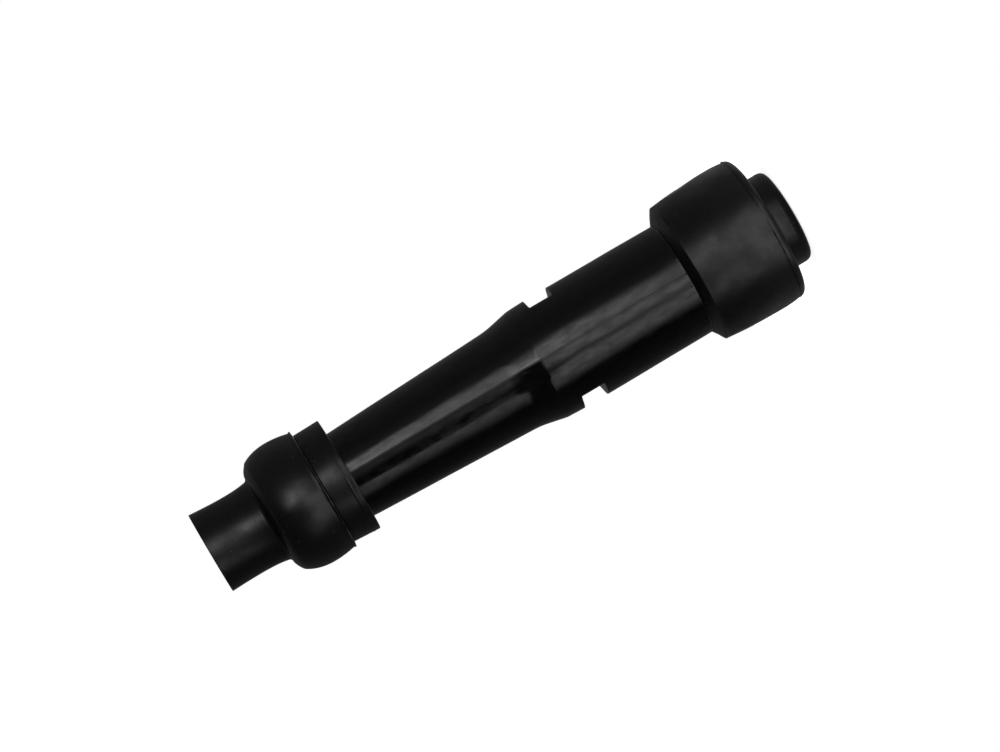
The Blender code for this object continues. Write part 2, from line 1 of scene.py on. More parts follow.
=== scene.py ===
"""Looks of a straight resistor cap for a spark plug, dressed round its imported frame.

Metres, +Z up, in the frame's own place: the cap stands on the end of its plug boot at Z = 0 and
the ignition lead enters at the top. The three outer mouldings are modelled here in full, because
their soft edges, parting lines, flash and shallow hollows are what the eye sees. The contact
parts inside keep the frame's shapes and get finishes only.
"""

import logging
import math
from collections.abc import Mapping
from dataclasses import dataclass, field
from enum import Enum

import bmesh
import bpy
import numpy as np
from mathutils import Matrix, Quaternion, Vector

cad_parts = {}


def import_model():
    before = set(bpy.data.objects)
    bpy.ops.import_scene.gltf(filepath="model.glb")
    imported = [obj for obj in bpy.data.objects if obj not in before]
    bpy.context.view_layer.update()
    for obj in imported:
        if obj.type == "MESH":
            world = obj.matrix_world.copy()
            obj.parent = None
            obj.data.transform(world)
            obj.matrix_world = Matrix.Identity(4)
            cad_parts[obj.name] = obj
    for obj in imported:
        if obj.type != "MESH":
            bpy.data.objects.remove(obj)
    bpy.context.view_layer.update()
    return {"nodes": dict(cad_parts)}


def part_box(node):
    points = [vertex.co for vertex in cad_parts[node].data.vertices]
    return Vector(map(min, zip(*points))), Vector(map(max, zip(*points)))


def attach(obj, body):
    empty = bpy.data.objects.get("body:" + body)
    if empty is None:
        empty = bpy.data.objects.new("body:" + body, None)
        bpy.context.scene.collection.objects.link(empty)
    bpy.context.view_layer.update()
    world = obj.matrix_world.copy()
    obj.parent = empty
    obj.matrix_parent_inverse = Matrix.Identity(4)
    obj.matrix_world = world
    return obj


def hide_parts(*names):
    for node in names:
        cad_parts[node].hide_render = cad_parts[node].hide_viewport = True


LOG = logging.getLogger("spark_plug_cap")
BODY = "root"
MILLIMETRES = 1000.0
MICROMETRE = 1e-6

# The middle part of a noise pattern, which is stretched over a finish's range.
NOISE_LOW = 0.35
NOISE_HIGH = 0.65

# A Mix node's colour sockets share their names with its other sockets, so they go by number.
MIX_SHARE, MIX_FIRST, MIX_SECOND = 0, 6, 7
MIX_COLOUR = 2

# How many of its widths the close rows at a thin ridge reach to each side.
RIDGE_REACH = 2.4

# Radius, height and fillet radius of an outline's corner.
Corner = tuple[float, float, float]
# Radius of a bore, and how far above the foot it ends.
Bore = tuple[float, float]
Colour = tuple[float, float, float, float]


def linear(colour: str) -> Colour:
    """Turns an sRGB hex colour into a shader's linear values.

    Args:
        colour: The colour as #rrggbb.

    Returns:
        Red, green, blue and alpha, each from 0 to 1.
    """
    parts = []
    for start in (1, 3, 5):
        value = int(colour[start : start + 2], 16) / 255
        parts.append(value / 12.92 if value <= 0.04045 else ((value + 0.055) / 1.055) ** 2.4)
    return (*parts, 1.0)


def repeats(millimetres: float) -> float:
    """Texture scale at which one feature of a pattern is that many millimetres across."""
    return MILLIMETRES / millimetres


def add_node(
    tree: bpy.types.NodeTree,
    kind: str,
    settings: Mapping[str, object] | None = None,
    inputs: Mapping[str | int, object] | None = None,
) -> bpy.types.Node:
    """Adds a node to a tree.

    Args:
        tree: The node tree of a material, world or lamp.
        kind: Blender's name for the kind of node.
        settings: Values of the node's own settings, by name.
        inputs: For each input by name or number, its value or the socket that feeds it.

    Returns:
        The new node.
    """
    node = tree.nodes.new(kind)
    for name, value in (settings or {}).items():
        setattr(node, name, value)
    for name, value in (inputs or {}).items():
        if isinstance(value, bpy.types.NodeSocket):
            tree.links.new(value, node.inputs[name])
        else:
            node.inputs[name].default_value = value
    return node


def smooth_step(value: np.ndarray, low: float, high: float) -> np.ndarray:
    """Share from 0 at low to 1 at high, with a soft start and end."""
    share = np.clip((value - low) / (high - low), 0, 1)
    return share * share * (3 - 2 * share)


def rounded(corners: list[Corner], steps: int = 6) -> list[Vector]:
    """Turns an outline's corners into points.

    Args:
        corners: Radius, height and fillet radius of each corner, in order.
        steps: Straight pieces in each fillet's arc.

    Returns:
        The outline's points as (radius, height).
    """
    points = []
    for index, (radius, height, fillet) in enumerate(corners):
        corner = Vector((radius, height))
        if fillet == 0:
            points.append(corner)
            continue
        back = Vector(corners[index - 1][:2]) - corner
        ahead = Vector(corners[(index + 1) % len(corners)][:2]) - corner
        half_angle = back.angle(ahead) / 2
        reach = min(fillet / math.tan(half_angle), back.length * 0.5, ahead.length * 0.5)
        middle = (back.normalized() + ahead.normalized()).normalized()
        centre = corner + middle * reach / math.cos(half_angle)
        first = corner + back.normalized() * reach - centre
        last = corner + ahead.normalized() * reach - centre
        for step in range(steps + 1):
            points.append(centre + first.length * first.slerp(last, step / steps))
    return points


def swept(start: Corner, handle: Corner, end: Corner, steps: int = 18) -> list[Corner]:
    """Lays corners along a smooth curve.

    Args:
        start: Where the curve starts.
        handle: The corner that it leans out towards.
        end: Where it ends.
        steps: Straight pieces in the curve.

    Returns:
        The corners, without fillets.
    """
    corners = []
    for step in range(steps + 1):
        t = step / steps
        weights = ((1 - t) ** 2, 2 * t * (1 - t), t * t)
        radius, height = (
            sum(weight * point[axis] for weight, point in zip(weights, (start, handle, end)))
            for axis in (0, 1)
        )
        corners.append((radius, height, 0.0))
    return corners


def refined(points: list[Vector], longest: float) -> list[Vector]:
    """Divides an outline's long straight stretches.

    Args:
        points: The open outline's points.
        longest: Length that no stretch may pass.

    Returns:
        The same outline, with more points.
    """
    result = [points[0]]
    for before, after in zip(points, points[1:]):
        pieces = max(math.ceil((after - before).length / longest), 1)
        result += [before.lerp(after, piece / pieces) for piece in range(1, pieces + 1)]
    return result


def with_rows(points: list[Vector], heights: list[float]) -> list[Vector]:
    """Adds points to an outline that runs downwards.

    Args:
        points: The outline's points.
        heights: Where points are wanted.

    Returns:
        The same outline, with a point at each height that it passes.
    """
    result = [points[0]]
    for before, after in zip(points, points[1:]):
        for height in sorted(heights, reverse=True):
            if after.y < height < before.y:
                result.append(before.lerp(after, (height - before.y) / (after.y - before.y)))
        result.append(after)
    return result


def grid_faces(rows: int, columns: int) -> list[list[int]]:
    """Joins the neighbouring points of a grid by four-sided faces, and its last points to its first.

    Args:
        rows: Rows of points.
        columns: Points in each row.

    Returns:
        The numbers of each face's four points.
    """
    row, column = np.meshgrid(np.arange(rows), np.arange(columns), indexing="ij")
    below, beside = (row + 1) % rows, (column + 1) % columns
    corners = [row * columns + column, below * columns + column]
    corners += [below * columns + beside, row * columns + beside]
    return np.stack(corners, axis=-1).reshape(-1, 4).tolist()


@dataclass(frozen=True)
class Waves:
    """Shallow hollows and swells of a moulded wall, as a sum of waves round and along it."""

    seed: int
    depth: float
    lobes: tuple[int, int]
    lengths: tuple[float, float]
    count: int = 10

    def at(self, angle: np.ndarray, height: np.ndarray) -> np.ndarray:
        """How far the wall stands out.

        Args:
            angle: Angle round the axis at each point.
            height: Height of each point.

        Returns:
            The distance outwards at each point.
        """
        draw = np.random.default_rng(self.seed)
        total = np.zeros(np.broadcast(angle, height).shape)
        for _ in range(self.count):
            lobes = draw.integers(self.lobes[0], self.lobes[1] + 1)
            length = draw.uniform(*self.lengths)
            turn, phase = draw.uniform(-math.pi, math.pi, 2)
            total += np.cos(lobes * angle + turn) * np.cos(2 * math.pi * height / length + phase)
        return total * self.depth / math.sqrt(self.count)


class Spread(Enum):
    """How a finish's pattern lies on the piece."""

    EVEN = (1.0, 1.0, 1.0)
    ALONG_AXIS = (1.0, 1.0, 0.36)
    ROUND_AXIS = (0.04, 0.04, 1.0)


@dataclass(frozen=True)
class Finish:
    """What every finish has, and how its shader starts."""

    name: str
    colour: str
    roughness: float
    ior: float = 1.5
    metallic: float = 0.0

    def started(self) -> tuple[bpy.types.Material, bpy.types.NodeTree, bpy.types.Node]:
        """A new material with its even values set on the shader.

        Returns:
            The material, its node tree and its Principled shader.
        """
        material = bpy.data.materials.new(self.name)
        material.use_nodes = True
        tree = material.node_tree
        shader = tree.nodes["Principled BSDF"]
        shader.inputs["Base Color"].default_value = linear(self.colour)
        shader.inputs["Roughness"].default_value = self.roughness
        shader.inputs["IOR"].default_value = self.ior
        shader.inputs["Metallic"].default_value = self.metallic
        return material, tree, shader

    def feed(
        self,
        tree: bpy.types.NodeTree,
        shader: bpy.types.Node,
        patterns: Mapping[str, bpy.types.NodeSocket],
    ) -> None:
        """Links each pattern to the shader's input of that name."""
        for name, pattern in patterns.items():
            tree.links.new(pattern, shader.inputs[name])

    def spots(
        self,
        tree: bpy.types.NodeTree,
        millimetres: float,
        spread: Spread = Spread.EVEN,
        detail: float = 2.0,
    ) -> bpy.types.NodeSocket:
        """A cloudy pattern fixed to the piece.

        Args:
            tree: The material's node tree.
            millimetres: Size of one cloud.
            spread: How the clouds are drawn out.
            detail: How many finer layers they have.

        Returns:
            The socket of its strength, round about 0.5.
        """
        place = add_node(tree, "ShaderNodeTexCoord")
        laid = add_node(
            tree,
            "ShaderNodeMapping",
            inputs={"Vector": place.outputs["Object"], "Scale": spread.value},
        )
        noise = add_node(
            tree,
            "ShaderNodeTexNoise",
            inputs={"Vector": laid.outputs[0], "Scale": repeats(millimetres), "Detail": detail},
        )
        return noise.outputs["Fac"]

    def ranged(
        self, tree: bpy.types.NodeTree, value: bpy.types.NodeSocket, low: float, high: float
    ) -> bpy.types.NodeSocket:
        """Stretches a pattern over a range.

        Args:
            tree: The material's node tree.
            value: The pattern.
            low: What its low values give.
            high: What its high values give.

        Returns:
            The socket of the stretched value.
        """
        node = add_node(
            tree,
            "ShaderNodeMapRange",
            inputs={
                "Value": value,
                "From Min": NOISE_LOW,
                "From Max": NOISE_HIGH,
                "To Min": low,
                "To Max": high,
            },
        )
        return node.outputs["Result"]

    def tinted(
        self, tree: bpy.types.NodeTree, value: bpy.types.NodeSocket, first: str, second: str
    ) -> bpy.types.NodeSocket:
        """Mixes two colours by a pattern.

        Args:
            tree: The material's node tree.
            value: The pattern.
            first: The colour of its low values, as #rrggbb.
            second: The colour of its high values, as #rrggbb.

        Returns:
            The socket of the colour.
        """
        node = add_node(
            tree,
            "ShaderNodeMix",
            {"data_type": "RGBA"},
            {
                MIX_SHARE: self.ranged(tree, value, 0, 1),
                MIX_FIRST: linear(first),
                MIX_SECOND: linear(second),
            },
        )
        return node.outputs[MIX_COLOUR]

    def raised(
        self,
        tree: bpy.types.NodeTree,
        value: bpy.types.NodeSocket,
        micrometres: float,
        under: bpy.types.NodeSocket | None = None,
    ) -> bpy.types.NodeSocket:
        """Turns a pattern into relief.

        Args:
            tree: The material's node tree.
            value: The pattern.
            micrometres: Height of the relief.
            under: The normal of a coarser relief that this one lies on, if there is one.

        Returns:
            The socket of the surface's normal.
        """
        inputs: dict[str | int, object] = {
            "Height": value,
            "Distance": micrometres * MICROMETRE,
            "Strength": 1.0,
        }
        if under:
            inputs["Normal"] = under
        return add_node(tree, "ShaderNodeBump", inputs=inputs).outputs["Normal"]


@dataclass(frozen=True)
class PolishedPhenolic(Finish):
    """Black phenolic moulding compound, hot pressed in a polished steel mould.

    It gives the eye sharp reflections with a faint wave along the flow of the compound, and
    duller clouds where wood flour in the compound reaches the skin.
    """

    flour_colour: str = "#030303"
    flow_mm: float = 1.9
    flow_um: float = 7.0
    streak_mm: float = 0.55
    streak_um: float = 2.0
    cloud_mm: float = 0.75
    cloud_roughness: float = 0.2
    clear_gloss: float = 0.58
    cloud_gloss: float = 0.4
    grain_mm: float = 0.16  # The real grain is finer, and too fine to show.
    grain_um: float = 0.25

    def make(self) -> bpy.types.Material:
        """Builds the material.

        Returns:
            The finished material.
        """
        material, tree, shader = self.started()
        clouds = self.spots(tree, self.cloud_mm, Spread.ALONG_AXIS, 4.0)
        flow = self.spots(tree, self.flow_mm, Spread.ALONG_AXIS)
        streaks = self.spots(tree, self.streak_mm, Spread.ALONG_AXIS)
        grain = self.spots(tree, self.grain_mm)
        wave = self.raised(tree, streaks, self.streak_um, self.raised(tree, flow, self.flow_um))
        patterns = {
            "Base Color": self.tinted(tree, clouds, self.colour, self.flour_colour),
            "Roughness": self.ranged(tree, clouds, self.roughness, self.cloud_roughness),
            "Specular IOR Level": self.ranged(tree, clouds, self.clear_gloss, self.cloud_gloss),
            "Normal": self.raised(tree, grain, self.grain_um, wave),
        }
        self.feed(tree, shader, patterns)
        return material


@dataclass(frozen=True)
class MouldedRubber(Finish):
    """Black synthetic rubber, pressed in a fine-blasted mould.

    It gives the eye a broad soft sheen that is blotchy where the mould was worn smooth, a fine
    grain, and a few pale crumbs of flash and dust.
    """

    bloom_colour: str = "#080808"
    bloom_mm: float = 2.5
    bloom_roughness: float = 0.35
    clear_gloss: float = 0.5
    bloom_gloss: float = 0.35
    dent_mm: float = 4.2
    dent_um: float = 32.0
    grain_mm: float = 0.22  # The blasted grain is finer, and too fine to show.
    grain_um: float = 3.0
    crumb_colour: str = "#3a3936"
    crumb_spacing_mm: float = 1.7
    crumb_share: float = 0.045

    def make(self) -> bpy.types.Material:
        """Builds the material.

        Returns:
            The finished material.
        """
        material, tree, shader = self.started()
        bloom = self.spots(tree, self.bloom_mm, detail=4.0)
        grain = self.spots(tree, self.grain_mm, detail=3.0)
        dents = self.raised(tree, self.spots(tree, self.dent_mm), self.dent_um)
        rubber = self.tinted(tree, bloom, self.colour, self.bloom_colour)
        patterns = {
            "Base Color": self.crumbed(tree, rubber),
            "Roughness": self.ranged(tree, bloom, self.roughness, self.bloom_roughness),
            "Specular IOR Level": self.ranged(tree, bloom, self.clear_gloss, self.bloom_gloss),
            "Normal": self.raised(tree, grain, self.grain_um, dents),
        }
        self.feed(tree, shader, patterns)
        return material

    def crumbed(
        self, tree: bpy.types.NodeTree, rubber: bpy.types.NodeSocket
    ) -> bpy.types.NodeSocket:
        """Scatters the pale crumbs.

        Args:
            tree: The material's node tree.
            rubber: The colour of the rubber without them.

        Returns:
            The socket of the colour with them.
        """
        place = add_node(tree, "ShaderNodeTexCoord")
        cells = add_node(
            tree,
            "ShaderNodeTexVoronoi",
            inputs={"Vector": place.outputs["Object"], "Scale": repeats(self.crumb_spacing_mm)},
        )
        crumb = add_node(
            tree,
            "ShaderNodeMath",
            {"operation": "LESS_THAN"},
            {0: cells.outputs["Distance"], 1: self.crumb_share},
        )
        colour = add_node(
            tree,
            "ShaderNodeMix",
            {"data_type": "RGBA"},
            {
                MIX_SHARE: crumb.outputs[0],
                MIX_FIRST: rubber,
                MIX_SECOND: linear(self.crumb_colour),
            },
        )
        return colour.outputs[MIX_COLOUR]


@dataclass(frozen=True)
class TurnedBrass(Finish):
    """Free-cutting brass, turned on an automatic lathe.

    It gives the eye fine rings of tool marks round the axis and a patchy brown tarnish.
    """

    tarnish_colour: str = "#8c6a38"
    ring_mm: float = 0.12  # Real tool marks lie closer, too close to show.
    ring_um: float = 2.0
    tarnish_mm: float = 1.6
    tarnish_roughness: float = 0.46

    def make(self) -> bpy.types.Material:
        """Builds the material.

        Returns:
            The finished material.
        """
        material, tree, shader = self.started()
        rings = self.spots(tree, self.ring_mm, Spread.ROUND_AXIS)
        tarnish = self.spots(tree, self.tarnish_mm, detail=5.0)
        patterns = {
            "Base Color": self.tinted(tree, tarnish, self.colour, self.tarnish_colour),
            "Roughness": self.ranged(tree, tarnish, self.roughness, self.tarnish_roughness),
            "Normal": self.raised(tree, rings, self.ring_um),
        }
        self.feed(tree, shader, patterns)
        return material


@dataclass(frozen=True)
class BrightSteel(Finish):
    """Thin steel, drawn to wire or pressed and then plated.

    It gives the eye a cool shine with faint streaks, duller where it was handled.
    """

    handled_colour: str = "#8d8b86"
    streak_mm: float = 0.2  # Real drawing and press marks are finer, and too fine to show.
    streak_um: float = 1.2
    handled_mm: float = 1.1
    handled_roughness: float = 0.42

    def make(self) -> bpy.types.Material:
        """Builds the material.

        Returns:
            The finished material.
        """
        material, tree, shader = self.started()
        handled = self.spots(tree, self.handled_mm, detail=4.0)
        streaks = self.spots(tree, self.streak_mm, Spread.ROUND_AXIS)
        patterns = {
            "Base Color": self.tinted(tree, handled, self.colour, self.handled_colour),
            "Roughness": self.ranged(tree, handled, self.roughness, self.handled_roughness),
            "Normal": self.raised(tree, streaks, self.streak_um),
        }
        self.feed(tree, shader, patterns)
        return material


@dataclass(frozen=True)
class FiredCeramic(Finish):
    """Unglazed steatite, extruded and fired.

    It gives the eye a chalky off-white with a fine speckle and a sandy grain.
    """

    speck_colour: str = "#a89f8c"
    speck_mm: float = 0.5
    grain_mm: float = 0.18  # The real grain is finer, and too fine to show.
    grain_um: float = 5.0

    def make(self) -> bpy.types.Material:
        """Builds the material.

        Returns:
            The finished material.
        """
        material, tree, shader = self.started()
        specks = self.spots(tree, self.speck_mm, detail=5.0)
        grain = self.spots(tree, self.grain_mm, detail=3.0)
        patterns = {
            "Base Color": self.tinted(tree, specks, self.colour, self.speck_colour),
            "Normal": self.raised(tree, grain, self.grain_um),
        }
        self.feed(tree, shader, patterns)
        return material


@dataclass
class Moulding:
    """A turned moulding that is modelled in full and stands for one of the frame's nodes."""

    name: str
    node: str
    slot: str
    columns: int = 256
    row_length: float = 0.0006
    close_count: int = 9
    sharp_angle: float = math.radians(40)

    @property
    def foot(self) -> float:
        """Height of the node's lowest point."""
        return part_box(self.node)[0].z

    @property
    def head(self) -> float:
        """Height of the node's highest point."""
        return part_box(self.node)[1].z

    def outside(self) -> list[Vector]:
        """The outline's outer side, from the top down."""
        raise NotImplementedError

    def thin_relief(self) -> tuple[tuple[float, float], ...]:
        """Height above the foot and half width of each thin detail that needs close rows."""
        return ()

    def close_rows(self) -> list[float]:
        """Heights of the rows that the thin details need."""
        steps = np.linspace(-1, 1, self.close_count)
        details = self.thin_relief()
        return [self.foot + at + step * reach for at, reach in details for step in steps]

    def inside(self) -> list[Vector]:
        """The outline's inner side, from the bottom up."""
        raise NotImplementedError

    def angles(self) -> np.ndarray:
        """Angles of the mesh's columns, in order."""
        return np.linspace(-math.pi, math.pi, self.columns, endpoint=False)

    def relief(self, angle: np.ndarray, radius: np.ndarray, height: np.ndarray) -> np.ndarray:
        """How far each outer point stands out of the turned form."""
        return np.zeros(np.broadcast(angle, radius, height).shape)

    def carve(self, x: np.ndarray, y: np.ndarray, z: np.ndarray) -> tuple[np.ndarray, ...]:
        """The places of all points after the cuts that aren't round."""
        return x, y, z

    def leaning(self, x: np.ndarray, y: np.ndarray, z: np.ndarray) -> np.ndarray:
        """How far each point is off the housing's axis towards +X, because rubber sits askew."""
        return np.zeros(x.shape)

    def build(self) -> bpy.types.Object:
        """Builds the closed mesh and puts it in the node's place.

        Returns:
            The new object, which rides on the body and stands for the node.
        """
        outer = with_rows(refined(self.outside(), self.row_length), self.close_rows())
        outline = outer + self.inside()
        angle = self.angles()[None, :]
        radius = np.array([point.x for point in outline])[:, None]
        height = np.array([point.y for point in outline])[:, None]
        radius = np.repeat(radius, angle.size, axis=1)
        skin = len(outer)
        radius[:skin] += self.relief(angle, radius[:skin], height[:skin])
        height = np.broadcast_to(height, radius.shape)
        x, y, z = self.carve(radius * np.cos(angle), radius * np.sin(angle), height)
        x = x + self.leaning(x, y, z)
        mesh = self.closed_mesh(np.stack([x, y, z], axis=-1))
        piece = bpy.data.objects.new(self.name, mesh)
        bpy.context.scene.collection.objects.link(piece)
        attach(piece, BODY)
        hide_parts(self.node)
        LOG.info("%s: %d faces, stands for %s", self.name, len(mesh.polygons), self.node)
        return piece

    def closed_mesh(self, points: np.ndarray) -> bpy.types.Mesh:
        """Makes the moulding's mesh, smooth but for the edges that are sharp.

        Args:
            points: Places of the points, by row and column.

        Returns:
            The new mesh.
        """
        rows, columns, axes = points.shape
        mesh = bpy.data.meshes.new(self.name)
        faces = grid_faces(rows, columns)
        mesh.from_pydata(points.reshape(-1, axes).tolist(), [], faces)
        shape = bmesh.new()
        shape.from_mesh(mesh)
        bmesh.ops.recalc_face_normals(shape, faces=shape.faces)
        shape.to_mesh(mesh)
        shape.free()
        mesh.shade_smooth()
        mesh.set_sharp_from_angle(angle=self.sharp_angle)
        return mesh

    def dress(self, piece: bpy.types.Object, finish: bpy.types.Material) -> None:
        """Puts the finish on the piece."""
        piece.data.materials.append(finish)


@dataclass
class Housing(Moulding):
    """The phenolic moulding: barrel with two notches, flare, cone, and the bead under the seal.

    Heights are above its foot. Its mould parted on the plane through the axis that runs from the
    front to the back, so one parting line faces the viewer.
    """

    name: str = "housing_moulding"
    node: str = "housing"
    slot: str = "housing_phenolic"
    barrel_radius: float = 0.00857
    barrel_head_radius: float = 0.00869
    shoulder_radius: float = 0.00856
    foot_chamfer: float = 0.0004
    groove_radius: float = 0.00792
    groove_span: tuple[float, float] = (0.004, 0.0062)
    boot_rim: float = 0.01273
    flare_foot: float = 0.0365
    flare_length: float = 0.0039
    flare_edge: float = 0.003
    barrel_fillet: float = 0.05
    flare_fillet: float = 0.013
    cone_foot_radius: float = 0.00773
    cone_head_radius: float = 0.00662
    cone_length: float = 0.02665
    bead_setback: float = 0.0045
    bead_radius: float = 0.00767
    bead_length: float = 0.0024
    bead_ramp: float = 0.0023
    bead_fillet: float = 0.0004
    spigot_radius: float = 0.00625
    edge: float = 0.0005
    plug_cavity: Bore = (0.0059, 0.0231)
    thread_bore: Bore = (0.005, 0.0314)
    chamber: Bore = (0.0033, 0.0607)
    screw_hole: Bore = (0.0019, 0.0635)
    cable_cavity_radius: float = 0.00375
    notch_head: float = 0.0337
    notch_width: float = 0.00367
    notch_floor: float = 0.0072
    notch_offset: float = 0.00016
    notch_softness: float = 0.00009
    notch_blend: float = 4.0  # Softnesses inside the floor at which its rounding begins.
    parting_turn: float = math.radians(1.6)
    parting_step: float = 0.000012
    parting_ridge: float = 0.00006
    parting_width: float = 0.00013
    parting_columns: tuple[float, ...] = (0.35, 0.7, 1.1, 1.6, 2.4)  # In parting widths.
    parting_clearance: float = 0.004  # Radians with no even column beside a close one.
    residue_height: float = 0.01286
    residue_rise: float = 0.00004
    residue_width: float = 0.00008
    crumb_limit: float = 2.0
    waves: Waves = Waves(seed=11, depth=0.000009, lobes=(3, 16), lengths=(0.008, 0.03), count=14)
    crumbs: Waves = Waves(seed=3, depth=1.0, lobes=(20, 110), lengths=(0.01, 0.02), count=20)

    def outside(self) -> list[Vector]:
        """The outline's outer side, from the spigot's end down to the chamfered foot.

        Returns:
            The points as (radius, height).
        """
        foot = self.foot
        cone_foot = foot + self.flare_foot + self.flare_length
        cone_head = cone_foot + self.cone_length
        slope = (self.cone_head_radius - self.cone_foot_radius) / self.cone_length
        bead_foot = cone_head + self.bead_setback
        bead_head = bead_foot + self.bead_length
        root_radius = self.cone_head_radius + slope * self.bead_setback
        corners = [
            (self.spigot_radius, self.head, self.edge),
            (self.spigot_radius, bead_head + self.bead_ramp, self.bead_fillet),
            (self.bead_radius, bead_head, self.bead_fillet),
            (self.bead_radius, bead_foot, self.bead_fillet),
            (root_radius, bead_foot, 0.0),
            (self.cone_foot_radius, cone_foot, self.flare_fillet),
            (self.shoulder_radius, foot + self.flare_foot, self.flare_edge),
            (self.barrel_head_radius, foot + self.notch_head, self.barrel_fillet),
            (self.barrel_radius, foot + self.boot_rim, 0.0),
            (self.barrel_radius, foot + self.groove_span[1], 0.0),
            (self.groove_radius, foot + self.groove_span[1], 0.0),
            (self.groove_radius, foot + self.groove_span[0], 0.0),
            (self.barrel_radius, foot + self.groove_span[0], 0.0),
            (self.barrel_radius, foot, self.foot_chamfer),
            (self.plug_cavity[0], foot, 0.0),
        ]
        return rounded([(self.cable_cavity_radius, self.head, 0.0), *corners])[1:-1]

    def thin_relief(self) -> tuple[tuple[float, float], ...]:
        """The notches' softened walls and the residue at the boot's lip.

        Returns:
            Height above the foot and half width of each.
        """
        return (
            (self.notch_head, self.notch_softness),
            (self.notch_head - self.notch_width, self.notch_softness),
            (self.residue_height, 2 * self.residue_width),
        )

    def inside(self) -> list[Vector]:
        """The outline's inner side: cavity for the plug, thread, chamber, hole and lead socket.

        Returns:
            The points as (radius, height).
        """
        low, corners = self.foot, []
        for radius, end in (self.plug_cavity, self.thread_bore, self.chamber, self.screw_hole):
            corners += [(radius, low), (radius, self.foot + end)]
            low = self.foot + end
        socket = self.cable_cavity_radius
        corners += [(socket, low), (socket, self.head - self.edge), (socket + self.edge, self.head)]
        return [Vector(corner) for corner in corners]

    def angles(self) -> np.ndarray:
        """Even columns, with close ones at the two parting lines.

        Returns:
            The angle of each column, in order.
        """
        sides = np.array(self.parting_columns)
        offsets = np.concatenate([-sides[::-1], [0], sides])
        close = offsets * self.parting_width / self.barrel_radius
        seams = [line + close for line in self.parting_lines()]
        kept = [
            column
            for column in super().angles()
            if all(abs(column - seam).min() > self.parting_clearance for seam in seams)
        ]
        return np.sort(np.concatenate([kept, *seams]))

    def parting_lines(self) -> tuple[float, float]:
        """Angles of the two lines where the mould's halves met."""
        return (-math.pi / 2 + self.parting_turn, math.pi / 2 + self.parting_turn)

    def relief(self, angle: np.ndarray, radius: np.ndarray, height: np.ndarray) -> np.ndarray:
        """Shallow waves, the ridge and step on the parting lines, and crumbs at the boot's lip.

        Args:
            angle: Angle of each column.
            radius: Radius of each point of the turned form.
            height: Height of each row.

        Returns:
            The distance outwards at each point.
        """
        front, back = self.parting_lines()
        stands = self.waves.at(angle, height)
        above = (height - self.foot - self.residue_height) / self.residue_width
        crumbs = np.clip(self.crumbs.at(angle, height), 0, self.crumb_limit)
        stands = stands + self.residue_rise * crumbs * np.exp(-above * above)
        for line in (front, back):
            across = (angle - line) * self.barrel_radius / self.parting_width
            stands = stands + self.parting_ridge * np.exp(-across * across)
        half = np.tanh((angle - front) * self.barrel_radius / self.parting_width)
        return stands + self.parting_step * half * (angle < back)

    def carve(self, x: np.ndarray, y: np.ndarray, z: np.ndarray) -> tuple[np.ndarray, ...]:
        """Cuts the two flat-floored notches, with softened edges.

        Args:
            x: Each point's place towards +X.
            y: Its place towards +Y.
            z: Its height.

        Returns:
            The new x, y and z of each point.
        """
        high = self.foot + self.notch_head
        low = high - self.notch_width
        reach = self.notch_softness
        depth = smooth_step(z, low - reach, low + reach)
        depth = depth * (1 - smooth_step(z, high - reach, high + reach))
        across = x - self.notch_offset
        over = (np.abs(across) - self.notch_floor) / reach
        soft = self.notch_floor + reach * (over - np.logaddexp(0, over))
        cut = np.abs(across) * (1 - depth) + soft * depth
        outer = np.hypot(x, y) > self.plug_cavity[0] + self.edge
        changed = outer & (over > -self.notch_blend) & (depth > 0)
        return np.where(changed, np.sign(across) * cut + self.notch_offset, x), y, z


